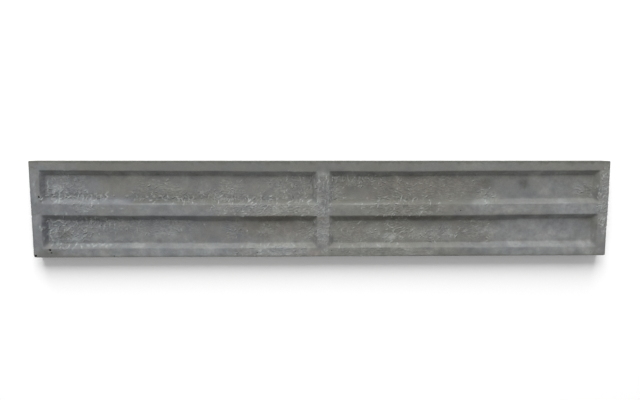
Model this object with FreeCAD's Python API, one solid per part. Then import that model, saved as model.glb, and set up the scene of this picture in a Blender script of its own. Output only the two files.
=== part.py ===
import FreeCAD, Part
import math
import os

# Concrete gravel board, cast as one piece and laid on its flat back, in millimetres.
# X runs along the board, Y from its bottom edge to its top edge, Z out of the panelled face.
# The origin is at the centre of the back.

# Overall block
board_length = 1830.0
board_height = 305.0
board_thickness = 50.0

# Raised members of the panelled face, measured between the sharp lines of their rims
end_rail = 31.0
edge_rail = 31.0
middle_rail = 38.0
centre_rib = 38.0

# Sunk panels: depth to the floor, and how far the splayed sides run in from the rim
panel_depth = 16.0
splay_run = 15.0

# Roundings left by the mould, and by the float on the back
panel_rim_round = 2.5
panel_foot_round = 4.0
face_arris_round = 3.0
back_arris_round = 1.0

panel_length = (board_length - 2 * end_rail - centre_rib) / 2
panel_height = (board_height - 2 * edge_rail - middle_rail) / 2
left_x = -board_length / 2
bottom_y = -board_height / 2


def centre_level(face):
    return face.CenterOfMass.z


def rounded_block():
    corner = FreeCAD.Vector(left_x, bottom_y, 0)
    block = Part.makeBox(board_length, board_height, board_thickness, corner)
    front = max(block.Faces, key=centre_level)
    uprights = [edge for edge in block.Edges if edge.BoundBox.ZLength > board_thickness / 2]
    block = block.makeFillet(face_arris_round, front.Edges + uprights)
    back = min(block.Faces, key=centre_level)
    return block.makeFillet(back_arris_round, back.Edges)


# Section of a sunk panel between two rims, with point_at placing a distance and a height in space.
# The splayed sides go on past the rims, as far above the face as the floor is below it.
def panel_section(low, high, point_at):
    floor_z = board_thickness - panel_depth
    mouth_z = board_thickness + panel_depth
    slope = math.atan2(panel_depth, splay_run)
    tangent = panel_foot_round * math.tan(slope / 2)
    foot_start = (splay_run - tangent * math.cos(slope), floor_z + tangent * math.sin(slope))
    foot_end = (splay_run + tangent, floor_z)
    foot_middle = (
        foot_end[0] - panel_foot_round * math.sin(slope / 2),
        floor_z + panel_foot_round * (1 - math.cos(slope / 2)),
    )
    side = [(-splay_run, mouth_z), foot_start, foot_middle, foot_end]
    near = [point_at(low + distance, z) for distance, z in side]
    far = [point_at(high - distance, z) for distance, z in side]
    curves = [
        Part.LineSegment(near[0], near[1]),
        Part.Arc(near[1], near[2], near[3]),
        Part.LineSegment(near[3], far[3]),
        Part.Arc(far[3], far[2], far[1]),
        Part.LineSegment(far[1], far[0]),
        Part.LineSegment(far[0], near[0]),
    ]
    return Part.Face(Part.Wire([curve.toShape() for curve in curves]))


# The two sections of a panel are swept across each other, so that the splays meet in mitres.
def panel_cutter(low_x, low_y):
    cross_section = panel_section(
        low_y, low_y + panel_height, lambda y, z: FreeCAD.Vector(left_x, y, z)
    )
    long_section = panel_section(
        low_x, low_x + panel_length, lambda x, z: FreeCAD.Vector(x, bottom_y, z)
    )
    swept_along = cross_section.extrude(FreeCAD.Vector(board_length, 0, 0))
    swept_across = long_section.extrude(FreeCAD.Vector(0, board_height, 0))
    return swept_along.common(swept_across)


def gravel_board():
    columns = [left_x + end_rail, centre_rib / 2]
    rows = [bottom_y + edge_rail, middle_rail / 2]
    cutters = [panel_cutter(x, y) for x in columns for y in rows]
    board = rounded_block().cut(cutters)
    front = max(board.Faces, key=centre_level)
    rims = [wire for wire in front.Wires if not wire.isSame(front.OuterWire)]
    return board.makeFillet(panel_rim_round, [edge for rim in rims for edge in rim.Edges])


os.makedirs("parts", exist_ok=True)
board = gravel_board()
board.exportStep("parts/gravel_board.step")
print("gravel board", "valid" if board.isValid() else "not valid", len(board.Solids), "solid")
print("volume", round(board.Volume / 1e6, 3), "litres")
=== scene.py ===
import math
import random

import bmesh
import bpy
from mathutils import Matrix, Vector, kdtree, noise


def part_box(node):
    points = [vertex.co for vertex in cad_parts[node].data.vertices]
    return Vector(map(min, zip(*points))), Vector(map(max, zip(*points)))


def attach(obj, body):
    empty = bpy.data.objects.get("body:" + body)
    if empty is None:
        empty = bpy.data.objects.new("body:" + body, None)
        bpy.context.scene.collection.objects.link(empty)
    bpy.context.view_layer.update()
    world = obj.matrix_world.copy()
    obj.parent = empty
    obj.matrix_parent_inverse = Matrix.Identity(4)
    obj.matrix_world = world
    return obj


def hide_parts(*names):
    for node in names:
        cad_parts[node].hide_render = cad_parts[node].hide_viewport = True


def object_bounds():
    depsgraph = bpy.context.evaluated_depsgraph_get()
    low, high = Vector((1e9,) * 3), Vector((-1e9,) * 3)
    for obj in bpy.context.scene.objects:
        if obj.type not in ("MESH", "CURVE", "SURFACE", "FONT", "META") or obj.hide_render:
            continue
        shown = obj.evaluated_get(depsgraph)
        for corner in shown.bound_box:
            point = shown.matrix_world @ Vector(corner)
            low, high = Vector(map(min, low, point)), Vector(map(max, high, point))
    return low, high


mm = 0.001

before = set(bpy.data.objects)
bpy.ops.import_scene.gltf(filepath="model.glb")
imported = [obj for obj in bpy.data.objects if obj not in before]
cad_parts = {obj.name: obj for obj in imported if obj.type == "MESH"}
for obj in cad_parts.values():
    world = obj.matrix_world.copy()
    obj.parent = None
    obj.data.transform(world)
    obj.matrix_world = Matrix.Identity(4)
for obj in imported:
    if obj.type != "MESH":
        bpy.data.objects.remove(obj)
cadLow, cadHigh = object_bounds()
print("frame loaded")


# Small helpers

def soft(low, high, value):
    t = min(1.0, max(0.0, (value - low) / (high - low)))
    return t * t * (3 - 2 * t)


def bumps(x, y, size, seed):  # smooth noise from -1 to 1, lumps about one size across
    return noise.noise(Vector((x / size, y / size, seed)))


def lumps(x, y, z, size, seed):  # the same for a place in the round
    return noise.noise(Vector((x / size, y / size, z / size + seed)))


def aim(thing, target, up):
    back = (thing.location - Vector(target)).normalized()
    right = Vector(up).cross(back).normalized()
    turned = Matrix((right, back.cross(right), back)).transposed()
    thing.rotation_euler = turned.to_euler()


def toObject(bm, name):
    mesh = bpy.data.meshes.new(name)
    bm.to_mesh(mesh)
    bm.free()
    thing = bpy.data.objects.new(name, mesh)
    bpy.context.collection.objects.link(thing)
    return thing


# The casting, in millimetres between the sharp lines of its edges
boardShape = {
    "endRail": 31,
    "edgeRail": 31,
    "middleRail": 38,
    "centreRib": 38,
    "panelDepth": 16,
    "splayRun": 15,
    "slopeRows": (0.09, 0.2, 0.21, 0.21, 0.2, 0.09),  # shares of the splay, tight at rim and toe
    "holdingLine": 1.6,  # keeps the roundings tight
    "meshStep": 4.6,
    "triangles": 194000,
    "sunkFace": 0.5,  # the faces sit this far inside the mould size, so that crests stay within it
    "sunkBack": 0.25,
    "backLevel": 5,  # what lies lower belongs to the back
    "offFloor": 0.05,
    "faceLevel": 30,  # the panelled face and its panels lie higher than this
    "faceTilt": 0.15,  # and look up at least this much
    "seed": 1830,
}


def onFace(place, normal):
    return normal.z > boardShape["faceTilt"] and place.z > boardShape["faceLevel"] * mm


def along(edge, axis):
    span = edge.verts[1].co - edge.verts[0].co
    return abs(span[axis]) > 0.999 * span.length


def splitRows(bm, edges, axis):  # parallel edges of one row get the same number of cuts
    rows = {}
    for edge in edges:
        middle = (edge.verts[0].co + edge.verts[1].co) / 2
        rows.setdefault(round(middle[axis] / mm), []).append(edge)
    for row in rows.values():
        longest = max(edge.calc_length() for edge in row)
        cuts = math.ceil(longest / (boardShape["meshStep"] * mm)) - 1
        if cuts > 0:
            bmesh.ops.subdivide_edges(bm, edges=row, cuts=cuts, use_grid_fill=True)


def castBlock():
    shape = boardShape
    low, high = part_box("gravel_board")
    bm = bmesh.new()
    bmesh.ops.create_cube(bm, size=1)
    bmesh.ops.scale(bm, vec=high - low, verts=bm.verts[:])
    bmesh.ops.translate(bm, vec=(low + high) / 2, verts=bm.verts[:])
    rimX = high.x - shape["endRail"] * mm
    rimY = high.y - shape["edgeRail"] * mm
    ribX = shape["centreRib"] / 2 * mm
    railY = shape["middleRail"] / 2 * mm
    hold = shape["holdingLine"] * mm
    cutLines = []
    for x in (rimX, rimX + hold, ribX, ribX - hold, high.x - hold):
        cutLines += [((1, 0, 0), x), ((1, 0, 0), -x)]
    for y in (rimY, rimY + hold, railY, railY - hold, high.y - hold):
        cutLines += [((0, 1, 0), y), ((0, 1, 0), -y)]
    cutLines += [((0, 0, 1), high.z - hold), ((0, 0, 1), low.z + hold)]
    for normal, place in cutLines:
        everything = bm.verts[:] + bm.edges[:] + bm.faces[:]
        bmesh.ops.bisect_plane(
            bm, geom=everything, dist=1e-6, plane_co=Vector(normal) * place, plane_no=normal
        )
    bm.normal_update()
    panels = []
    for face in bm.faces:
        middle = face.calc_center_median()
        inside = ribX < abs(middle.x) < rimX and railY < abs(middle.y) < rimY
        if face.normal.z > 0.9 and inside:
            panels.append(face)
    for share in shape["slopeRows"]:
        run = share * shape["splayRun"] * mm
        drop = share * shape["panelDepth"] * mm
        bmesh.ops.inset_individual(bm, faces=panels, thickness=run, depth=-drop, use_even_offset=True)
    bmesh.ops.inset_individual(bm, faces=panels, thickness=hold, depth=0, use_even_offset=True)
    for axis in (0, 1, 2):
        splitRows(bm, [edge for edge in bm.edges if along(edge, axis)], axis)
    print("block", len(panels), "panels", len(bm.faces), "faces")
    return bm


# How far the mould lines wander, in millimetres
wanderSize = {
    "slow": 1.0,
    "slowStep": 95,
    "quick": 0.5,
    "quickStep": 21,
    "heldEdge": 16,  # the outer edges stay straight, and the wander grows up to here
}

# How the concrete crept out from the toes of the splayed sides or drew back: along the long sides
# and at the ends of the panels, with the way into the panel and both ends of each stretch
toeCreep = [
    {"side": "upper left, lower", "toe": 34, "into": 1, "ends": (-884, -640), "creep": 6, "back": 3},
    {"side": "upper left, lower", "toe": 34, "into": 1, "ends": (-640, -19), "creep": 1.5, "back": 3},
    {"side": "lower left, upper", "toe": -34, "into": -1, "ends": (-884, -600), "creep": 5, "back": 0},
    {"side": "lower left, lower", "toe": -106.5, "into": 1, "ends": (-884, -19), "creep": 2, "back": 3},
    {"side": "upper right, upper", "toe": 106.5, "into": -1, "ends": (19, 300), "creep": 4, "back": 0},
    {"side": "upper right, lower", "toe": 34, "into": 1, "ends": (19, 884), "creep": 1, "back": 2.5},
    {"side": "lower right, lower", "toe": -106.5, "into": 1, "ends": (19, 560), "creep": 1.5, "back": 3},
    {"side": "lower left, upper", "toe": -34, "into": -1, "ends": (-430, -19), "creep": 2, "back": -3},
    {"side": "lower right, upper", "toe": -34, "into": -1, "ends": (19, 640), "creep": 2, "back": -3},
]
endCreep = [
    {"side": "upper left, end", "toe": -869, "into": 1, "ends": (19, 121.5), "creep": 1.5, "back": 4.5},
    {"side": "lower left, end", "toe": -869, "into": 1, "ends": (-121.5, -19), "creep": 1.5, "back": 3},
]
creepSize = {
    "reach": 30,  # how far over the floor a toe takes its surroundings along
    "taper": 25,
    "slowStep": 34,
    "quickStep": 11,
    "start": 0.25,
}


def sway(x, y, seed):
    slow = wanderSize["slow"] * bumps(x, y, wanderSize["slowStep"], seed)
    return slow + wanderSize["quick"] * bumps(x, y, wanderSize["quickStep"], seed + 1)


def toeMove(toe, across, lengthwise):
    run, reach, taper = boardShape["splayRun"], creepSize["reach"], creepSize["taper"]
    first, last = toe["ends"]
    past = (across - toe["toe"]) * toe["into"]
    if not first < lengthwise < last or past <= -run or past > reach:
        return 0
    hold = 1 + past / run if past < 0 else soft(reach, 0, past)
    hold *= soft(first - 1, first + taper, lengthwise) * soft(last + 1, last - taper, lengthwise)
    uneven = bumps(lengthwise, toe["toe"], creepSize["slowStep"], 6.5)
    uneven += 0.5 * bumps(lengthwise, toe["toe"], creepSize["quickStep"], 7.5)
    return toe["into"] * hold * (toe["creep"] * max(0, creepSize["start"] + uneven) - toe["back"])


def wanderEdges(bm):
    halfX, halfY = cadHigh.x / mm, cadHigh.y / mm
    for vert in bm.verts:
        if vert.co.z < boardShape["faceLevel"] * mm:
            continue
        x, y = vert.co.x / mm, vert.co.y / mm
        free = soft(0, wanderSize["heldEdge"], min(halfX - abs(x), halfY - abs(y)))
        if free == 0:
            continue
        dx = sway(x, y, 1.5)
        dy = sway(x, y, 3.5)
        for toe in toeCreep:
            dy += toeMove(toe, y, x)
        for toe in endCreep:
            dx += toeMove(toe, x, y)
        vert.co.x += dx * free * mm
        vert.co.y += dy * free * mm


def filmPatch(at, size, depth, run, wrinkles, bold=1, coarse=1, spread=36):
    return {
        "at": at, "size": size, "depth": depth, "run": run, "wrinkles": wrinkles,
        "bold": bold, "coarse": coarse, "spread": spread,
    }


# Folds of the mould film, in soft patches: middle, half size, depth of the creases, the way they lie
# in degrees, and how many wrinkles stand out in ten square centimetres
filmPatches = [
    filmPatch((-812, 70), (75, 52), 0.7, 70, 2.4),  # left end, upper
    filmPatch((-770, 36), (130, 20), 0.7, 82, 4.5, bold=1.3),  # tongues, left
    filmPatch((-812, -70), (80, 56), 0.8, 62, 6.5, bold=1.35, coarse=1.1),  # left end, lower
    filmPatch((-690, -52), (85, 32), 0.6, 95, 4.5, bold=1.2),  # below the rail
    filmPatch((-505, -56), (140, 34), 0.3, 90, 1),  # soft fans
    filmPatch((-395, 40), (255, 22), 0.55, 65, 2.8),  # above the toe
    filmPatch((-520, 62), (95, 34), 0.3, 15, 1.2),  # upper left floor
    filmPatch((-298, 66), (60, 38), 0.35, 50, 1.8),  # upper left floor
    filmPatch((-105, 72), (105, 56), 0.35, 70, 2.7),  # by the rib
    filmPatch((-740, 4), (45, 20), 0.5, 30, 4.5),  # middle rail, left
    filmPatch((-170, 8), (210, 32), 0.6, 35, 6, bold=1.3),  # middle rail
    filmPatch((-285, -66), (50, 30), 0.4, 60, 2.2),  # lower left
    filmPatch((-165, -62), (45, 32), 0.4, 100, 2.2),  # lower left
    filmPatch((-55, -64), (45, 44), 0.5, 60, 3),  # lower left, rib
    filmPatch((0, 49), (32, 66), 0.7, 90, 8, bold=1.05, spread=12),  # rib, upper half
    filmPatch((0, -56), (36, 80), 0.7, 70, 2.4),  # rib, lower half
    filmPatch((-150, -134), (150, 24), 0.5, 30, 3),  # bottom rail
    filmPatch((100, 92), (100, 26), 0.6, 80, 3.8, bold=1.2),  # hanging folds
    filmPatch((45, 62), (34, 44), 0.6, 45, 4.5),  # upper right, rib
    filmPatch((222, 66), (62, 50), 0.45, 140, 3.2),  # upper right floor
    filmPatch((385, 72), (160, 48), 0.25, 15, 0.8),  # upper right floor
    filmPatch((245, 10), (150, 36), 0.6, 30, 5.1, bold=1.2),  # middle rail, right
    filmPatch((525, 37), (42, 24), 0.5, 50, 4.5),  # pale spot
    filmPatch((243, -72), (66, 42), 0.5, 30, 4.5),  # crumple
    filmPatch((357, -80), (80, 32), 0.5, 90, 3.6),  # bars
    filmPatch((485, -70), (80, 44), 0.3, 50, 2.2),  # lower right floor
    filmPatch((110, -72), (95, 44), 0.3, 40, 1.8),  # lower right, rib
    filmPatch((904, 28), (24, 104), 0.8, 60, 15, bold=1.7),  # right end rail
    filmPatch((846, 56), (42, 30), 0.4, 150, 2.2, bold=0.7),  # right end, upper
    filmPatch((190, -136), (190, 22), 0.4, 30, 2.4),  # bottom rail
]
creaseSize = {
    "step": 8.5,
    "stretch": 2.2,
    "sharp": 0.4,
    "small": 0.7,  # the small creases, as shares of the large ones, and how far they are turned
    "smallHigh": 0.45,
    "smallTurn": 40,
    "sunk": 0.4,
}
wrinkleSize = {
    "long": (5, 20),
    "wide": (2.1, 3.0),
    "high": (0.5, 1.5),
    "chalk": (0.08, 0.7),
    "shade": (0, 0.6),
    "bend": 0.35,
    "shadedHollow": 0.6,  # depth of the hollow beside a wrinkle, as a share of its height
}


def crease(x, y, run, step, seed):  # sharp crests where a stretched noise passes through zero
    turn = math.radians(run)
    u = (x * math.cos(turn) + y * math.sin(turn)) / (creaseSize["stretch"] * step)
    v = (y * math.cos(turn) - x * math.sin(turn)) / step
    bend = noise.noise(Vector((u * 0.9, v * 0.5, seed + 5)))
    swell = noise.noise(Vector((u + 0.4 * bend, v + 0.7 * bend, seed)))
    crest = max(0.0, 1 - abs(swell) / creaseSize["sharp"])
    return crest * crest * (3 - 2 * crest)


def filmShown(x, y):  # the patches that reach a place, with how much of each shows
    found = []
    ragged = 0.55 * bumps(x, y, 26, 11.5) + 0.3 * bumps(x, y, 9, 12.5)
    for number, patch in enumerate(filmPatches):
        dx = (x - patch["at"][0]) / patch["size"][0]
        dy = (y - patch["at"][1]) / patch["size"][1]
        reach = dx * dx + dy * dy + ragged
        if reach < 1:
            found.append((number, patch, soft(1, 0.25, reach)))
    return found


def filmFolds(x, y):  # height in millimetres and how much film shows
    size = creaseSize
    height = 0
    shown = 0
    for number, patch, amount in filmShown(x, y):
        large = crease(x, y, patch["run"], size["step"], number + 20.5)
        small = crease(x, y, patch["run"] + size["smallTurn"], size["small"] * size["step"], number + 60.5)
        height += patch["depth"] * amount * (large + size["smallHigh"] * small - size["sunk"])
        shown = max(shown, amount)
    return height, shown


# Concrete that ran out from the toes in tongues
tongueRows = [
    {"side": "upper left", "from": 29, "to": 44, "at": (-591, -510, -494, -460, -428, -414, -365, -345)},
    {"side": "upper left", "from": 29, "to": 44, "at": (-309, -290, -278, -240, -221, -196, -180)},
    {"side": "upper left", "from": 28, "to": 48, "at": (-774, -757, -733, -716, -702)},
    {"side": "upper right", "from": 108, "to": 90, "at": (43, 62, 79, 97, 116, 128, 140, 158)},
    {"side": "lower left", "from": -31, "to": -52, "at": (-782, -764, -748, -722, -705)},
]
tongueSize = {
    "lean": 7,
    "waver": 3,
    "longer": (-7, 5),
    "width": 4,
    "high": (0.9, 1.7),
    "chalk": (0.15, 0.4),
    "shade": (0.2, 0.6),
}


def fold(line, width, high, chalk=0.45, shade=0.8):
    return {"line": line, "width": width, "high": high, "chalk": chalk, "shade": shade}


def alike(lines, *sizes, **colour):
    return [fold(line, *sizes, **colour) for line in lines]


def shadedHollowBeside(rng, stroke, shade):  # a sunk line with painted shade, below a stroke that lies, away from the light, and on either side of an upright one
    (x0, y0), (x1, y1) = stroke["line"][0], stroke["line"][-1]
    length = math.hypot(x1 - x0, y1 - y0)
    side = stroke["width"] if x1 > x0 else -stroke["width"]
    if abs(x1 - x0) < 0.5 * length:
        side = rng.choice([-side, side])
    dx, dy = side * (y1 - y0) / length, -side * (x1 - x0) / length
    line = [(x + dx, y + dy) for x, y in stroke["line"]]
    return fold(line, stroke["width"], -wrinkleSize["shadedHollow"] * stroke["high"], shade=shade)


def wrinkle(rng, patch):
    size = wrinkleSize
    away = 1.02 * math.sqrt(rng.random())
    bearing = rng.uniform(0, 2 * math.pi)
    x = patch["at"][0] + patch["size"][0] * away * math.cos(bearing)
    y = patch["at"][1] + patch["size"][1] * away * math.sin(bearing)
    lean = math.radians(patch["run"] + rng.gauss(0, patch["spread"]))
    coarse = patch["coarse"]
    half = coarse * rng.triangular(*size["long"], size["long"][0]) / 2
    bend = rng.uniform(-size["bend"], size["bend"]) * half
    ux, uy = math.cos(lean), math.sin(lean)
    line = [
        (x - half * ux, y - half * uy),
        (x - bend * uy, y + bend * ux),
        (x + half * ux, y + half * uy),
    ]
    width = coarse * rng.uniform(*size["wide"])
    high = rng.uniform(*size["high"]) * min(1, 1.2 - 0.5 * away)  # lower towards the rim of the patch
    chalk = patch["bold"] * rng.triangular(*size["chalk"], size["chalk"][0])
    return fold(line, width, high, chalk=chalk)


def tongue(rng, row, x):
    size = tongueSize
    lean = rng.uniform(-size["lean"], size["lean"])
    toe = row["from"] + rng.uniform(-size["waver"], size["waver"])
    reach = row["to"] + rng.uniform(*size["longer"])
    middle = x + rng.uniform(-size["waver"], size["waver"])
    line = [(x, toe), (middle, (toe + reach) / 2), (x + lean, reach)]
    high = rng.uniform(*size["high"])
    return fold(line, size["width"], high, chalk=rng.uniform(*size["chalk"]))


def drawWrinkles(rng):  # strokes with a crest of chalk and painted highlight, each with a hollow of painted shade beside it
    strokes = []
    for patch in filmPatches:
        wide, tall = patch["size"]
        for turn in range(round(patch["wrinkles"] * math.pi * wide * tall / 1000)):
            stroke = wrinkle(rng, patch)
            shade = patch["bold"] * rng.uniform(*wrinkleSize["shade"])
            strokes += [stroke, shadedHollowBeside(rng, stroke, shade)]
    for row in tongueRows:
        for x in row["at"]:
            stroke = tongue(rng, row, x)
            strokes += [stroke, shadedHollowBeside(rng, stroke, rng.uniform(*tongueSize["shade"]))]
    return strokes


# Single folds, seams and marks that stand out, as lines in millimetres over the board: points, width
# and height of each, with the strength of its chalk, which is partly a painted highlight on the crest, or
# of its dirt
foldLines = [
    fold([(-864, 94), (-866, 71), (-867, 49)], 4, 1.8),  # bead beside the left end
    fold([(-844, 57), (-851, 34)], 4, 1.9),  # left end, upper
    fold([(-814, 66), (-831, 49), (-831, 28), (-826, 17)], 4.5, 2.2),  # left end, upper
    fold([(-794, 41), (-811, 30)], 4.5, 2.0),  # left end, upper
    fold([(-742, 60), (-744, 47)], 4, 1.5),  # left end, upper
    fold([(-678, 55), (-688, 44), (-680, 38), (-690, 27)], 4, 1.6),  # zigzag
    fold([(-849, -59), (-864, -72), (-866, -84), (-860, -105)], 4.5, 2.0),  # left end, lower
    fold([(-799, -57), (-815, -72)], 4, 1.8),  # left end, lower
    fold([(-864, -38), (-852, -44), (-840, -37), (-831, -39), (-822, -51)], 4, 1.8),  # gathers
    fold([(-691, -44), (-698, -71)], 4.5, 1.6),  # hanging fold
    fold([(-676, -45), (-677, -66)], 4, 1.6),  # hanging fold
    fold([(-664, -44), (-660, -69)], 4.5, 1.6),  # hanging fold
    fold([(206, -48), (217, -60), (231, -63)], 3.2, 1.2, chalk=0.4),  # fork
    fold([(231, -63), (226, -76), (238, -84)], 3.2, 1.2, chalk=0.35),  # fork
    fold([(262, -55), (246, -62), (232, -64)], 3.2, 1.1, chalk=0.35),  # fork
    fold([(268, -71), (252, -75), (240, -86)], 3.2, 1.1, chalk=0.4),  # fork
    fold([(240, -86), (250, -93), (264, -94)], 3.2, 1.0, chalk=0.3),  # fork
    *alike([  # scratches
        [(-488, -34), (-482, -50)], [(-476, -35), (-470, -53)], [(-463, -34), (-459, -48)],
    ], 3, -0.6, shade=0.7),
    fold([(393, 95), (393, 80), (394, 66)], 2.4, -0.4, shade=0.6),  # scratch
    *alike([  # scratches
        [(-893, 88), (-894, 73)], [(-903, 22), (-896, 12)],
    ], 2.4, -0.5, shade=0.6),
    fold([(-900, 82), (-898, 68)], 2.6, 0.5, chalk=0.5),  # chalk mark
    fold([(-897, 52), (-900, 40)], 2.6, 0.5, chalk=0.4),  # chalk mark
    fold([(-728, 28), (-724, 16), (-727, 4)], 3, 0.6, chalk=0.5),  # chalk mark
    fold([(-752, -112), (-742, -116)], 3.5, 0.6, chalk=0.55),  # chalk mark
    fold([(-738, -109), (-729, -113)], 3.5, 0.6, chalk=0.5),  # chalk mark
    fold([(-731, -117), (-720, -113)], 3.5, 0.6, chalk=0.6),  # chalk mark
    fold([(-717, -110), (-709, -116)], 3.5, 0.6, chalk=0.55),  # chalk mark
    fold([(-706, -114), (-695, -111)], 3.5, 0.6, chalk=0.6),  # chalk mark
    *alike([  # chalk marks
        [(-693, -118), (-684, -113)], [(-682, -111), (-673, -115)],
    ], 3.5, 0.6, chalk=0.5),
    fold([(882, -50), (881, -62), (883, -76)], 3, -0.5, shade=0.7),  # dark mark
    fold([(808, 64), (824, 60), (838, 54)], 7, 0.8, chalk=0),  # ridge
    fold([(842, 84), (852, 74), (860, 58)], 8, 0.6, chalk=0),  # ridge
    fold([(-914, 132), (-900, 130), (-887, 126)], 4, -0.8),  # mould joint
    *alike([  # mould joints
        [(-914, -19), (-898, -15), (-885, -10)], [(884, -14), (900, -16), (914, -15)],
    ], 3, -0.4),
    *alike([  # dark streaks beside the rib
        [(-38, 96), (-41, 82)], [(-32, 88), (-34, 70)], [(-44, 74), (-39, 60)], [(-30, 60), (-33, 44)],
    ], 2.8, -0.5, shade=0.6),
    *alike([  # chalk beside the rib
        [(-36, 78), (-38, 64)], [(-28, 100), (-30, 86)], [(-27, 50), (-29, 38)],
    ], 2.8, 0.5, chalk=0.4),
    *alike([  # dark streaks, right end
        [(872, -44), (873, -60), (871, -78)], [(876, -88), (875, -100)],
    ], 2.6, -0.4, shade=0.5),
    fold([(877, -82), (876, -98)], 2.6, 0.4, chalk=0.3),  # chalk, right end
    *alike([  # chalk on the middle rail
        [(-790, 9), (-778, 5)], [(-752, -4), (-742, -9)], [(-700, 8), (-690, 2)],
        [(-668, -7), (-658, -3)], [(-640, 6), (-630, 1)],
    ], 2.6, 0.5, chalk=0.4),
    *alike([  # dark on the middle rail
        [(-846, -12), (-838, -14)], [(-765, -14), (-757, -11)], [(-715, -12), (-706, -14)],
        [(-684, 3), (-677, 7)],
    ], 2.6, -0.4, shade=0.6),
    *alike([  # dirt under the middle rail
        [(-743, -23), (-734, -29)], [(-676, -26), (-668, -31)], [(-604, -25), (-596, -31)],
        [(-512, -25), (-503, -30)],
    ], 4.5, -0.5, shade=0.9),
]

# Air holes left in the casting, with the large ones of this board: place and width
airHoles = {
    "large": [
        (-888, 38, 7), (-863, -127, 7), (-859, -137, 4.5), (-662, -149, 3.5), (775, -85, 3.5),
        (783, -76, 3), (-908, -147, 7),
    ],
    "railCount": 16,
    "railMiddle": 15,
    "railSpread": 11,
    "edgeCount": 46,
    "longEdges": 0.8,  # share of them in the long edges
    "fromArris": 6,
    "fromCorner": 8,
    "across": (1.8, 3.4),
    "depth": 0.62,
    "reach": 0.62,
}

# Knocks along the arrises, and the broken corner at the lower left
chips = {
    "corners": [(-915, -152.5, 50, 9), (915, -152.5, 50, 5), (-915, 152.5, 50, 4), (915, 152.5, 50, 5)],
    "count": 44,
    "faceShare": 0.7,
    "longEdges": 0.75,
    "across": (2.0, 7.0),
    "depth": 0.24,
    "broken": 8,  # wider ones get painted shade inside
}

# Lumps of mortar along the first toes of the list
mortarLumps = {
    "count": 60,
    "across": (3.5, 8.0),
    "high": (0.7, 1.6),
    "fromToe": (-6, 8),
    "pale": 0.3,
    "toes": toeCreep[:5],
}
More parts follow.
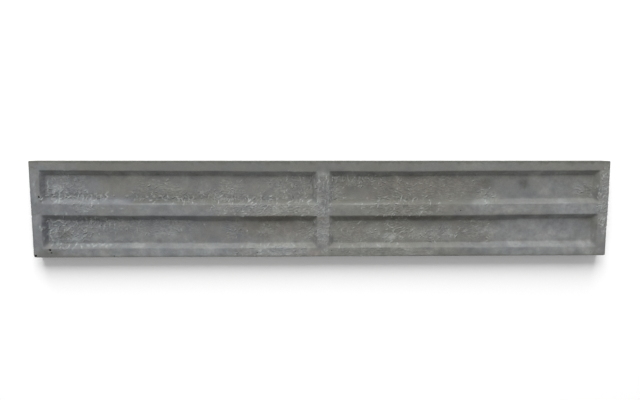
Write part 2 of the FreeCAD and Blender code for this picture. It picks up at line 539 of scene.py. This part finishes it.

# Stains and blooms over the face, with some painted shade and painted highlight among them: middle, half
# size and strength of each patch
tints = {
    "pale": [
        # top rail
        ((-850, 136), (90, 18), 0.15), ((490, 136), (90, 18), 0.14),
        # side below the top rail
        ((-600, 114), (150, 9), 0.36), ((0, 114), (1200, 9), 0.26), ((700, 114), (170, 9), 0.42),
        # upper panels and rib; the strip at (-600, 101) is painted light that lifts the shadow on the floor
        # below the top rail
        ((-838, 66), (22, 16), 0.38), ((-600, 101), (330, 8), 0.1), ((-400, 98), (60, 20), 0.1),
        ((-366, 68), (32, 18), 0.14), ((-330, 40), (20, 12), 0.24), ((-27, 72), (10, 50), 0.12),
        ((27, 72), (10, 50), 0.1), ((526, 36), (60, 26), 0.1), ((716, 50), (30, 18), 0.14),
        ((770, 84), (110, 44), 0.17),
        # side above the middle rail; the thin strips at y 20 are a painted highlight along the rim
        ((-770, 28), (130, 13), 0.16), ((-648, 27), (50, 9), 0.2), ((-540, 20), (120, 3.5), 0.24),
        ((-260, 20), (120, 3.5), 0.14), ((-50, 26), (70, 18), 0.1), ((130, 20), (100, 3.5), 0.2),
        ((650, 20), (230, 3.5), 0.2), ((700, 27), (240, 11), 0.15),
        # middle rail, rib and ends
        ((-902, 0), (14, 170), 0.14), ((-836, 0), (44, 20), 0.22), ((0, 2), (1100, 24), 0.1),
        ((510, 8), (70, 28), 0.34), ((560, 4), (190, 20), 0.24), ((772, 8), (54, 28), 0.35),
        ((830, -4), (60, 30), 0.22), ((900, 20), (24, 90), 0.15), ((902, 0), (14, 150), 0.2),
        # lower panels and rib
        ((-700, -95), (150, 12), 0.15), ((-590, -88), (36, 18), 0.12), ((-505, -84), (46, 26), 0.2),
        ((-440, -92), (30, 18), 0.12), ((-120, -86), (150, 50), 0.2), ((-28, -78), (12, 34), 0.2),
        ((2, -90), (28, 36), 0.14), ((27, -72), (10, 50), 0.14), ((160, -72), (36, 36), 0.16),
        ((208, -92), (34, 16), 0.28), ((350, -80), (70, 26), 0.13), ((402, -82), (36, 24), 0.22),
        ((550, -95), (32, 9), 0.2), ((700, -72), (230, 60), 0.19),
        # side above the bottom rail
        ((-700, -114), (90, 12), 0.22), ((-606, -114), (50, 12), 0.34), ((-400, -116), (190, 10), 0.16),
        ((184, -116), (56, 10), 0.34), ((622, -115), (56, 10), 0.34), ((690, -113), (230, 11), 0.2),
        # bottom rail and edge
        ((-660, -136), (150, 24), 0.2), ((-500, -136), (500, 30), 0.14), ((-380, -134), (160, 24), 0.23),
        ((-130, -128), (150, 30), 0.24), ((300, -136), (700, 30), 0.12), ((597, -134), (40, 22), 0.2),
        ((770, -136), (160, 24), 0.24),
    ],
    "brown": [
        # upper panels and rib
        ((300, 72), (290, 60), 0.34), ((514, 82), (26, 22), 0.5),
        # middle rail, rib and ends
        ((320, 4), (230, 26), 0.5),
        # side below the middle rail
        ((-140, -27), (150, 12), 0.7), ((240, -27), (300, 11), 0.6), ((400, -24), (80, 30), 0.2),
        # lower panels and rib
        ((-330, -60), (120, 40), 0.16), ((-150, -62), (140, 42), 0.64), ((160, -56), (160, 34), 0.2),
        ((450, -60), (90, 36), 0.2),
    ],
    "dampAndShade": [
        # top rail
        ((-400, 138), (1200, 24), 0.25),
        # side below the top rail
        ((-635, 113), (7, 11), 0.7), ((-520, 113), (7, 11), 0.7), ((-395, 113), (7, 11), 0.7),
        ((30, 116), (80, 26), 0.45), ((180, 114), (170, 9), 0.6), ((370, 114), (110, 9), 0.55),
        # upper panels and rib
        ((-760, 44), (130, 13), 0.3), ((-500, 51), (220, 15), 0.32), ((-480, 41), (230, 12), 0.5),
        ((-190, 40), (120, 12), 0.3), ((0, 70), (22, 60), 0.3), ((60, 90), (38, 20), 0.48),
        ((84, 66), (36, 26), 0.3), ((470, 46), (120, 14), 0.26), ((530, 80), (28, 26), 0.5),
        ((548, 52), (50, 16), 0.24), ((646, 80), (22, 20), 0.8), ((852, 56), (22, 20), 0.36),
        ((877, 72), (11, 60), 0.3),
        # middle rail, rib and ends
        ((-692, 2), (36, 16), 0.3), ((-560, 0), (300, 18), 0.13), ((150, 0), (150, 20), 0.3),
        ((302, 0), (56, 20), 0.42),
        # side below the middle rail
        ((-740, -29), (36, 7), 0.5), ((-740, -27), (150, 9), 0.34), ((330, -27), (340, 9), 0.36),
        # lower panels and rib
        ((-822, -80), (28, 24), 0.6), ((-480, -46), (170, 14), 0.2), ((-180, -46), (260, 14), 0.24),
        ((280, -46), (340, 14), 0.24), ((548, -52), (50, 20), 0.52), ((862, -50), (28, 34), 0.4),
        ((877, -72), (11, 60), 0.35),
        # side above the bottom rail
        ((-834, -112), (60, 14), 0.35), ((84, -116), (50, 10), 0.3), ((480, -116), (70, 10), 0.28),
        # bottom rail and edge; the thin strips at y -151 are painted shade along the bottom arris
        ((-866, -138), (46, 20), 0.6), ((-854, -140), (30, 13), 0.85), ((0, -151), (1400, 3), 0.75),
        ((160, -136), (200, 22), 0.44), ((300, -151), (330, 3.5), 1.0), ((330, -125), (260, 30), 0.22),
        ((430, -138), (130, 18), 0.34), ((740, -138), (150, 18), 0.22),
    ],
    "slateAndShade": [
        # upper panels and rib
        # the strip at (-877, 72) is painted shade on the left end slope
        ((-877, 72), (11, 60), 0.48), ((-835, 56), (40, 26), 0.3), ((-790, 52), (40, 14), 0.36),
        # lower panels and rib
        # the strip at (-877, -72) is painted shade on the left end slope
        ((-877, -72), (11, 60), 0.88), ((-846, -46), (26, 14), 0.34), ((-760, -40), (80, 14), 0.3),
        ((780, -52), (80, 22), 0.25),
        # bottom rail and edge
        ((500, -138), (46, 14), 0.35),
    ],
    "lilac": [
        # upper panels and rib
        ((-790, 66), (110, 60), 0.9), ((690, 56), (190, 50), 0.25),
        # side above the middle rail
        ((-700, 20), (300, 40), 0.7), ((-150, 20), (240, 36), 0.1),
        # middle rail, rib and ends
        ((-905, 0), (24, 170), 1.0), ((-830, 0), (170, 170), 0.75), ((0, 0), (40, 170), 0.45),
        ((800, 0), (120, 30), 0.4),
        # lower panels and rib
        ((-640, -70), (480, 140), 0.6), ((700, -72), (220, 52), 0.75),
        # bottom rail and edge
        ((-560, -136), (380, 30), 0.8), ((-140, -136), (140, 24), 0.5), ((660, -126), (260, 34), 0.6),
    ],
    "rosy": [
        ((150, 40), (24, 16), 0.5), ((200, 84), (24, 16), 0.4), ((330, 80), (150, 40), 0.16),
        ((-95, -68), (80, 36), 0.4), ((690, -72), (210, 50), 0.2),
        ((-26, -139), (34, 16), 0.5), ((320, -138), (40, 14), 0.3),
    ],
}
tintNames = ["film", "crest", "calm", "shadedHollow", "pale", "brown", "dampAndShade", "lilac", "rosy", "slateAndShade"]


def tintsAt(x, y):
    found = dict.fromkeys(tintNames, 0.0)
    ragged = 0.5 * bumps(x, y, 34, 31.5) + 0.35 * bumps(x, y, 12, 32.5)
    for name, patches in tints.items():
        for (middleX, middleY), (wide, tall), much in patches:
            dx = (x - middleX) / wide
            dy = (y - middleY) / tall
            reach = dx * dx + dy * dy + ragged * min(1, wide / 60)
            if reach < 1:
                found[name] = max(found[name], much * soft(1, 0.1, reach))
    return found


def holePlaces(rng):
    holes = airHoles
    halfX, halfY, top = cadHigh.x / mm, cadHigh.y / mm, cadHigh.z / mm
    inset, corner, spread = holes["fromArris"], holes["fromCorner"], holes["railSpread"]
    places = [(Vector((x, y, top)), across) for x, y, across in holes["large"]]
    for turn in range(holes["railCount"]):
        x = rng.uniform(-halfX + inset, halfX - inset)
        y = rng.choice([-halfY + holes["railMiddle"], 0]) + rng.uniform(-spread, spread)
        places.append((Vector((x, y, top)), rng.uniform(*holes["across"])))
    for turn in range(holes["edgeCount"]):
        z = rng.uniform(inset, top - inset)
        if rng.random() < holes["longEdges"]:
            place = Vector((rng.uniform(-halfX + corner, halfX - corner), rng.choice([-halfY, halfY]), z))
        else:
            place = Vector((rng.choice([-halfX, halfX]), rng.uniform(-halfY + corner, halfY - corner), z))
        places.append((place, rng.uniform(*holes["across"])))
    return places


def treeOf(points):
    tree = kdtree.KDTree(len(points))
    for number, point in enumerate(points):
        tree.insert(point, number)
    tree.balance()
    return tree


def faceTree(bm):  # the points of the face, and a tree of them as seen from above
    verts = [vert for vert in bm.verts if onFace(vert.co, vert.normal)]
    return verts, treeOf([Vector((vert.co.x, vert.co.y, 0)) for vert in verts])


def strengthen(vert, layer, value):
    vert[layer] = max(vert[layer], value)


# Where the mesh is cut finer: under the film, and in large faces round each air hole
finerPlaces = {"film": 0.06, "filmCuts": 2, "hole": 0.75, "ring": 1.5, "largeFace": 3, "holeCuts": 3}


def finerMesh(bm, places):
    finer = finerPlaces
    marked = set()
    for face in bm.faces:
        middle = face.calc_center_median()
        if onFace(middle, face.normal):
            shown = filmShown(middle.x / mm, middle.y / mm)
            if any(amount > finer["film"] for number, patch, amount in shown):
                marked.update(face.edges)
    bmesh.ops.subdivide_edges(bm, edges=list(marked), cuts=finer["filmCuts"], use_grid_fill=True)
    tree = treeOf([place * mm for place, across in places])
    marked = set()
    for face in bm.faces:
        point, number, distance = tree.find(face.calc_center_median())
        near = distance < (finer["hole"] * places[number][1] + finer["ring"]) * mm
        if near and face.calc_area() > finer["largeFace"] * mm * mm:
            marked.update(face.edges)
    bmesh.ops.subdivide_edges(bm, edges=list(marked), cuts=finer["holeCuts"], use_grid_fill=True)


# Painted shade on the upper side of the middle rail, along the board, where the splayed sides face the
# light
slopeShade = [
    (-915, 0.58), (-710, 0.7), (-650, 0.54), (-600, 0.74), (-540, 0.88), (-470, 0.76), (-390, 0.62),
    (-300, 0.76), (-180, 0.54), (-40, 0.7), (100, 0.66), (205, 0.52), (480, 0.58), (620, 0.36), (915, 0.34),
]


def slopeShadeAlong(x):
    for (x0, dirt0), (x1, dirt1) in zip(slopeShade, slopeShade[1:]):
        if x <= x1:
            return dirt0 + (dirt1 - dirt0) * (x - x0) / (x1 - x0)
    return slopeShade[-1][1]


# Unevenness of the casting: heights and steps in millimetres
unevenness = {
    "slow": 0.28,
    "slowStep": 150,
    "quick": 0.13,
    "quickStep": 32,
    "face": 0.06,
    "faceStep": 8,
    "edge": 0.07,
    "edgeStep": 9,
}

# The floors a little darker, and painted shade on the sides that face the top edge and on the top edge
# itself
darkening = {
    "floor": 0.08,
    "floorTop": 36,
    "railSide": (0, 60),
    "toe": 1.15,  # most of it at the toe, less at the rim
    "rimLess": 0.6,
    "slateEnd": -600,  # bluish up to here
    "bottomSide": (-140, -80),
    "bottom": 0.16,
    "topEdge": 0.95,
    "topEdgeWidth": 4,
}


def paintShade(found, x, y, z, facing):
    if z < darkening["floorTop"]:
        found["dampAndShade"] = max(found["dampAndShade"], darkening["floor"])
    # painted shade on the splayed sides that face the light, most at the toe
    if darkening["railSide"][0] < y < darkening["railSide"][1]:
        kind = "slateAndShade" if x < darkening["slateEnd"] else "dampAndShade"
        thick = darkening["toe"] - darkening["rimLess"] * soft(34, 50, z)
        found[kind] = max(found[kind], thick * facing * slopeShadeAlong(x))
    elif darkening["bottomSide"][0] < y < darkening["bottomSide"][1]:
        found["dampAndShade"] = max(found["dampAndShade"], darkening["bottom"] * facing)
    # painted shade along the top arris
    if y > cadHigh.y / mm - darkening["topEdgeWidth"]:
        found["dampAndShade"] = darkening["topEdge"]


def layRelief(bm):
    layers = {name: bm.verts.layers.float.new(name) for name in tintNames}
    bm.normal_update()
    size = unevenness
    for vert in bm.verts:
        x, y, z = vert.co / mm
        height = size["slow"] * lumps(x, y, z, size["slowStep"], 0)
        height -= boardShape["sunkFace"] if z > boardShape["backLevel"] else boardShape["sunkBack"]
        height += size["quick"] * lumps(x, y, z, size["quickStep"], 3.5)
        if onFace(vert.co, vert.normal):
            found = tintsAt(x, y)
            film, shown = filmFolds(x, y)
            height += film + size["face"] * bumps(x, y, size["faceStep"], 41.5)
            # how much the surface faces the top edge, where the light comes from
            facing = soft(0.1, 0.5, vert.normal.y)
            paintShade(found, x, y, z, facing)
            found["film"] = shown
            found["calm"] = max(soft(108, 122, y), (0.8 if y > 0 else 0.4) * facing)
            for name, value in found.items():
                vert[layers[name]] = value
        else:
            height += size["edge"] * lumps(x, y, z, size["edgeStep"], 7.5)
            # painted shade on the top side face
            if vert.normal.y > 0.3:
                vert[layers["dampAndShade"]] = darkening["topEdge"] + 0.2 * bumps(x, z, 40, 61.5)
        vert.co += vert.normal * height * mm
    return layers


# How the lines waver and thin out at their ends
linePress = {"waver": 2.5, "waverStep": 13, "shake": 2.0, "shakeStep": 6, "thin": 0.25}


def crestAlong(stroke, tree):  # how much each point near a line takes part in it
    size = linePress
    crests = {}
    reach = stroke["width"] * mm
    pieces = len(stroke["line"]) - 1
    for piece in range(pieces):
        (x0, y0), (x1, y1) = stroke["line"][piece:piece + 2]
        steps = max(2, round(math.hypot(x1 - x0, y1 - y0)))
        for step in range(steps + 1):
            t = step / steps
            x, y = x0 + (x1 - x0) * t, y0 + (y1 - y0) * t
            aside = size["waver"] * bumps(x, y, size["waverStep"], 51.5)
            aside += size["shake"] * bumps(x, y, size["shakeStep"], 52.5)
            centre = Vector((x + aside, y + 0.6 * aside, 0)) * mm
            done = (piece + t) / pieces
            full = size["thin"] + (1 - size["thin"]) * soft(0, 0.3, done) * soft(1, 0.7, done)
            for point, number, distance in tree.find_range(centre, reach):
                crests[number] = max(crests.get(number, 0), full * soft(reach, 0, distance))
    return crests


def pressLines(bm, layers, strokes):  # raise the folds and sink the joints and hollows
    verts, tree = faceTree(bm)
    for stroke in strokes:
        for number, crest in crestAlong(stroke, tree).items():
            vert = verts[number]
            vert.co += vert.normal * stroke["high"] * crest * mm
            if stroke["high"] > 0:
                # raised lines paler: chalk, and partly a painted highlight
                strengthen(vert, layers["crest"], stroke["chalk"] * crest)
                strengthen(vert, layers["film"], crest)
            else:
                # sunk lines darker: dark joints, scratches and dirt, and painted shade in the hollows
                # beside wrinkles
                strengthen(vert, layers["dampAndShade"], stroke["shade"] * crest)


def sinkHoles(bm, layers, places):
    verts = bm.verts[:]
    tree = treeOf([vert.co for vert in verts])
    for place, across in places:
        for point, number, distance in tree.find_range(place * mm, airHoles["reach"] * across * mm):
            near = distance / (0.5 * across * mm)
            deep = math.sqrt(max(0.0, 1 - near * near)) ** 0.7
            vert = verts[number]
            vert.co -= vert.normal * deep * airHoles["depth"] * across * mm
            # painted shade inside the hole
            strengthen(vert, layers["shadedHollow"], soft(0.1, 0.8, deep))


def knockArrises(bm, layers, rng):
    halfX, halfY, top = cadHigh.x / mm, cadHigh.y / mm, cadHigh.z / mm
    places = [(Vector((x, y, z)), across) for x, y, z, across in chips["corners"]]
    for turn in range(chips["count"]):
        z = top if rng.random() < chips["faceShare"] else 0
        if rng.random() < chips["longEdges"]:
            place = Vector((rng.uniform(-halfX, halfX), rng.choice([-halfY, halfY]), z))
        else:
            place = Vector((rng.choice([-halfX, halfX]), rng.uniform(-halfY, halfY), z))
        places.append((place, rng.triangular(*chips["across"], chips["across"][0])))
    verts = bm.verts[:]
    tree = treeOf([vert.co for vert in verts])
    centre = Vector((0, 0, top / 2))
    for place, across in places:
        inward = centre - place
        inward = Vector((0.2 * inward.x / halfX, inward.y / halfY, inward.z / (top / 2)))
        if abs(place.x) > halfX - 1:
            inward.x = -math.copysign(1, place.x)
        inward.normalize()
        for point, number, distance in tree.find_range(place * mm, across * mm):
            vert = verts[number]
            near = distance / (across * mm) + 0.5 * noise.noise(point * 210)
            vert.co += inward * chips["depth"] * across * soft(1, 0.2, near) * mm
            # painted shade inside the wider chips
            if across > chips["broken"]:
                strengthen(vert, layers["shadedHollow"], soft(0.9, 0.3, near))


def dropLumps(bm, layers, rng):
    verts, tree = faceTree(bm)
    for turn in range(mortarLumps["count"]):
        toe = rng.choice(mortarLumps["toes"])
        first, last = toe["ends"]
        x = rng.triangular(first, last, first)
        y = toe["toe"] + toe["into"] * rng.uniform(*mortarLumps["fromToe"])
        across = rng.uniform(*mortarLumps["across"])
        high = rng.uniform(*mortarLumps["high"])
        for point, number, distance in tree.find_range(Vector((x, y, 0)) * mm, across * mm):
            near = distance / (across * mm) + 0.3 * noise.noise(point * 300)
            vert = verts[number]
            vert.co += vert.normal * high * soft(1, 0.1, near) * mm
            strengthen(vert, layers["pale"], mortarLumps["pale"] * soft(1, 0.2, near))


def roundArrises(bm):
    bmesh.ops.smooth_vert(
        bm, verts=bm.verts[:], factor=0.5, use_axis_x=True, use_axis_y=True, use_axis_z=True
    )


# The mould had sagged between its ends, and its rims with it
mouldSag = {"drop": 2.2, "endLift": 1.8, "full": (-30, 118), "none": (-140, 150)}
lowRims = [
    {"rim": "middle rail, upper side", "drop": 2.0, "from": (2, 16), "to": (40, 20)},
    {"rim": "bottom rail, upper side", "drop": 1.6, "from": (-148, -124), "to": (-100, -120)},
]


def sagMould(bm):
    sag = mouldSag
    for vert in bm.verts:
        if vert.co.z > boardShape["faceLevel"] * mm:
            y = vert.co.y / mm
            shown = soft(sag["none"][0], sag["full"][0], y) * soft(sag["none"][1], sag["full"][1], y)
            outward = vert.co.x / cadHigh.x
            fall = shown * (sag["drop"] - (sag["drop"] + sag["endLift"]) * outward * outward)
            for rim in lowRims:
                fall += rim["drop"] * soft(*rim["from"], y) * soft(*rim["to"], y)
            vert.co.y -= fall * mm


def thinOut(board):
    thin = board.modifiers.new("thin out", "DECIMATE")
    sides = sum(len(face.vertices) - 2 for face in board.data.polygons)
    thin.ratio = boardShape["triangles"] / sides
    bpy.context.view_layer.update()
    finished = board.evaluated_get(bpy.context.evaluated_depsgraph_get())
    board.data = bpy.data.meshes.new_from_object(finished)
    board.modifiers.clear()


def keepInside(board):  # nothing stands out of the mould size
    lowest = Vector((cadLow.x, cadLow.y, cadLow.z + boardShape["offFloor"] * mm))
    for vert in board.data.vertices:
        for axis in (0, 1, 2):
            vert.co[axis] = min(max(vert.co[axis], lowest[axis]), cadHigh[axis])


def makeBoard():
    rng = random.Random(boardShape["seed"])
    bm = castBlock()
    places = holePlaces(rng)
    roundArrises(bm)
    finerMesh(bm, places)
    wanderEdges(bm)
    roundArrises(bm)
    layers = layRelief(bm)
    bm.normal_update()
    pressLines(bm, layers, foldLines + drawWrinkles(rng))
    dropLumps(bm, layers, rng)
    knockArrises(bm, layers, rng)
    bm.normal_update()
    sinkHoles(bm, layers, places)
    sagMould(bm)
    print("relief laid", len(bm.verts), "points")
    board = toObject(bm, "concreteBoard")
    board.data.shade_smooth()
    thinOut(board)
    keepInside(board)
    print("board", len(board.data.polygons), "faces left")
    return board


# Concrete: grey tones are plain colour values, sizes in millimetres
concreteLook = {
    "warmGrey": (0.159, 0.158, 0.145),
    "coolGrey": (0.161, 0.167, 0.178),
    "pale": (0.34, 0.357, 0.352),
    "brown": (0.088, 0.074, 0.056),
    # damp stains, also used as painted shade on slopes facing the light, along the top and bottom edges and
    # beside the wrinkles
    "dampAndShade": (0.070, 0.072, 0.059),
    "rosy": (0.200, 0.172, 0.160),
    # bluish stains, also painted shade on the left end slopes and on the left part of the middle rail's
    # upper side
    "slateAndShade": (0.070, 0.074, 0.088),
    # painted shade inside air holes and broken chips
    "shadedHollow": (0.010, 0.010, 0.009),
    "rosyTinge": (1.02, 0.992, 0.992),
    "mossTinge": (0.98, 1.008, 1.0),
    "clouds": {  # size, detail and shift of each
        "broad": (260, 2, 1.3),
        "mottle": (42, 4, 2.9),
        "tinge": (24, 2, 7.7),
        "blotch": (9, 3, 4.1),
        "grit": (2.4, 3, 5.7),
        "sand": (0.9, 2, 6.9),
    },
    "mottleTone": 0.17,  # how much lighter and darker
    "tones": {"blotch": 0.06, "grit": 0.075, "sand": 0.13},
    "bumps": {"creases": 0.7, "blotch": 0.5, "grit": 0.4, "sand": 0.25, "pinholes": -0.8},
    "filmCrease": 8,
    "filmSlant": 35,
    "pinholeCell": 13,
    "roughness": (0.78, 0.94),
    "shine": 0.3,
}


def addNode(tree, kind, **settings):
    node = tree.nodes.new(kind)
    for name, value in settings.items():
        if name in node.inputs:
            node.inputs[name].default_value = value
        else:
            setattr(node, name, value)
    return node


def feed(tree, target, value):
    if isinstance(value, bpy.types.NodeSocket):
        tree.links.new(value, target)
    elif isinstance(value, tuple):
        target.default_value = (*value, 1)
    else:
        target.default_value = value


def sums(tree, operation, first, second):
    node = addNode(tree, "ShaderNodeMath", operation=operation)
    feed(tree, node.inputs[0], first)
    feed(tree, node.inputs[1], second)
    return node.outputs[0]


def blendColour(tree, amount, first, second, mode="MIX"):
    node = addNode(tree, "ShaderNodeMix", data_type="RGBA", blend_type=mode)
    feed(tree, node.inputs[0], amount)
    feed(tree, node.inputs[6], first)
    feed(tree, node.inputs[7], second)
    return node.outputs[2]


def ranged(tree, value, low, high, newLow, newHigh):
    node = addNode(tree, "ShaderNodeMapRange")
    feed(tree, node.inputs["Value"], value)
    node.inputs["From Min"].default_value = low
    node.inputs["From Max"].default_value = high
    node.inputs["To Min"].default_value = newLow
    node.inputs["To Max"].default_value = newHigh
    return node.outputs[0]


def concreteMaterial():
    look = concreteLook
    material = bpy.data.materials.new("concrete")
    material.use_nodes = True
    tree = material.node_tree
    shader = tree.nodes["Principled BSDF"]
    place = addNode(tree, "ShaderNodeTexCoord").outputs["Object"]

    def cloud(size, detail, shift):
        shifted = addNode(tree, "ShaderNodeMapping", Location=(shift, shift * 0.7, shift * 0.3))
        tree.links.new(place, shifted.inputs["Vector"])
        node = addNode(tree, "ShaderNodeTexNoise", Scale=1000 / size, Detail=detail, Roughness=0.6)
        tree.links.new(shifted.outputs[0], node.inputs["Vector"])
        return node.outputs[0]

    def painted(name):
        return addNode(tree, "ShaderNodeAttribute", attribute_name=name).outputs["Fac"]

    def times(first, second):
        return sums(tree, "MULTIPLY", first, second)

    clouds = {name: cloud(*size) for name, size in look["clouds"].items()}
    mottle, blotch = clouds["mottle"], clouds["blotch"]

    # tones from the large clouds, then the stains and blooms over them, some of them painted shade and
    # painted highlight
    coolness = sums(tree, "ADD", painted("lilac"), ranged(tree, clouds["broad"], 0.3, 0.7, -0.1, 0.35))
    coolness = sums(tree, "ADD", coolness, ranged(tree, mottle, 0.3, 0.7, 0.3, -0.3))
    colour = blendColour(tree, coolness, look["warmGrey"], look["coolGrey"])
    worn = ranged(tree, blotch, 0.3, 0.65, 0.55, 1.0)
    for name in ("rosy", "brown", "slateAndShade", "dampAndShade"):
        colour = blendColour(tree, times(painted(name), worn), colour, look[name])
    lively = ranged(tree, painted("calm"), 0, 1, 1, 0.35)
    patchy = times(ranged(tree, mottle, 0.35, 0.65, -0.3, 0.3), lively)
    patchy = sums(tree, "ADD", patchy, ranged(tree, blotch, 0.35, 0.6, 0.72, 1.0))
    colour = blendColour(tree, times(painted("pale"), patchy), colour, look["pale"])
    # paler crests of the wrinkles and folds: chalk, and partly a painted highlight
    colour = blendColour(tree, painted("crest"), colour, look["pale"])

    # fine creases of the film, too small for the mesh
    turned = (0, 0, math.radians(look["filmSlant"]))
    slant = addNode(tree, "ShaderNodeMapping", Rotation=turned, Scale=(0.5, 1, 1))
    tree.links.new(place, slant.inputs["Vector"])
    lines = addNode(tree, "ShaderNodeTexNoise", Scale=1000 / look["filmCrease"], Detail=1.5, Roughness=0.5)
    lines.inputs["Distortion"].default_value = 0.7
    tree.links.new(slant.outputs[0], lines.inputs["Vector"])
    away = sums(tree, "ABSOLUTE", sums(tree, "SUBTRACT", lines.outputs[0], 0.5), 0)
    creases = times(ranged(tree, away, 0.0, 0.09, 1.0, 0.0), painted("film"))

    # pinholes in some of the cells
    cells = addNode(tree, "ShaderNodeTexVoronoi", Scale=1000 / look["pinholeCell"])
    tree.links.new(place, cells.inputs["Vector"])
    pick = addNode(tree, "ShaderNodeSeparateColor")
    tree.links.new(cells.outputs["Color"], pick.inputs[0])
    pinholes = ranged(tree, cells.outputs["Distance"], 0.035, 0.07, 1, 0)
    pinholes = times(pinholes, ranged(tree, pick.outputs[0], 0.6, 0.62, 0, 1))

    # lighter and darker, from the mottle down to the sand
    tone = look["mottleTone"]
    value = sums(tree, "ADD", times(ranged(tree, mottle, 0.3, 0.7, -tone, tone), lively), 1)
    for name, tone in look["tones"].items():
        value = times(value, ranged(tree, clouds[name], 0.3, 0.7, 1 - tone, 1 + tone))
    # lighter along the fine creases: chalk, and partly a painted highlight
    value = times(value, ranged(tree, creases, 0.0, 1.0, 0.97, 1.22))
    # pinholes darker: painted shade inside them
    value = times(value, ranged(tree, pinholes, 0, 1, 1, 0.5))
    grey = addNode(tree, "ShaderNodeCombineColor")
    for channel in range(3):
        tree.links.new(value, grey.inputs[channel])
    colour = blendColour(tree, 1.0, colour, grey.outputs[0], "MULTIPLY")
    moss = ranged(tree, clouds["tinge"], 0.3, 0.7, 0, 1)
    tinge = blendColour(tree, moss, look["rosyTinge"], look["mossTinge"])
    colour = blendColour(tree, 1.0, colour, tinge, "MULTIPLY")
    # painted shade in the air holes and broken chips
    colour = blendColour(tree, painted("shadedHollow"), colour, look["shadedHollow"])
    tree.links.new(colour, shader.inputs["Base Color"])
    tree.links.new(ranged(tree, mottle, 0.3, 0.7, *look["roughness"]), shader.inputs["Roughness"])
    shader.inputs["Specular IOR Level"].default_value = look["shine"]

    heights = {**clouds, "creases": creases, "pinholes": pinholes}
    normal = None
    for name, distance in look["bumps"].items():
        bump = addNode(tree, "ShaderNodeBump", Strength=0.6, Distance=distance * mm)
        tree.links.new(heights[name], bump.inputs["Height"])
        if normal:
            tree.links.new(normal, bump.inputs["Normal"])
        normal = bump.outputs[0]
    tree.links.new(normal, shader.inputs["Normal"])
    return material


board = makeBoard()
board.data.materials.clear()
board.data.materials.append(concreteMaterial())
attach(board, "root")
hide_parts("gravel_board")
print("concrete on")


# Pale floor and soft light
studio = {
    "floorSize": 30,
    "floorColour": (0.95, 0.95, 0.95),
    "floorRoughness": 0.9,
    "floorShine": 0.1,
    "sky": 0.47,
}
softbox = {"place": (-0.3, 6.1, 4.0), "size": 6.0, "watts": 850}


def makeFloor():
    bm = bmesh.new()
    bmesh.ops.create_grid(bm, x_segments=1, y_segments=1, size=studio["floorSize"] / 2)
    floor = toObject(bm, "paleFloor")
    material = bpy.data.materials.new("paleFloor")
    material.use_nodes = True
    shader = material.node_tree.nodes["Principled BSDF"]
    shader.inputs["Base Color"].default_value = (*studio["floorColour"], 1)
    shader.inputs["Roughness"].default_value = studio["floorRoughness"]
    shader.inputs["Specular IOR Level"].default_value = studio["floorShine"]
    floor.data.materials.append(material)


def makeLights():
    data = bpy.data.lights.new("softbox", "AREA")
    data.size = softbox["size"]
    data.energy = softbox["watts"]
    light = bpy.data.objects.new("softbox", data)
    light.location = softbox["place"]
    light.visible_camera = False
    bpy.context.collection.objects.link(light)
    aim(light, (0, 0, 0), (0, 0, 1))
    world = bpy.data.worlds.new("studio")
    world.use_nodes = True
    sky = world.node_tree.nodes["Background"]
    sky.inputs["Color"].default_value = (1, 1, 1, 1)
    sky.inputs["Strength"].default_value = studio["sky"]
    bpy.context.scene.world = world


# Camera above the board, for a picture 640 wide and 400 high
cameraPlace = {
    "at": (-0.05467, 0.18746, 1.800),
    "looksAt": (-0.00999, -0.01998, 0.050),
    "up": (0.0024, 0.9931, -0.1176),
    "lens": 31.25,
    "sensor": 36,
    "shift": 0.0242,  # the board lies a little below the middle of what the lens saw
}


def makeCamera():
    data = bpy.data.cameras.new("camera")
    data.lens = cameraPlace["lens"]
    data.sensor_width = cameraPlace["sensor"]
    data.shift_y = cameraPlace["shift"]
    camera = bpy.data.objects.new("camera", data)
    camera.location = cameraPlace["at"]
    bpy.context.collection.objects.link(camera)
    aim(camera, cameraPlace["looksAt"], cameraPlace["up"])
    bpy.context.scene.camera = camera


makeFloor()
makeLights()
makeCamera()
bpy.context.scene.view_settings.view_transform = "Standard"
print("floor, light and camera placed")

bpy.context.view_layer.update()
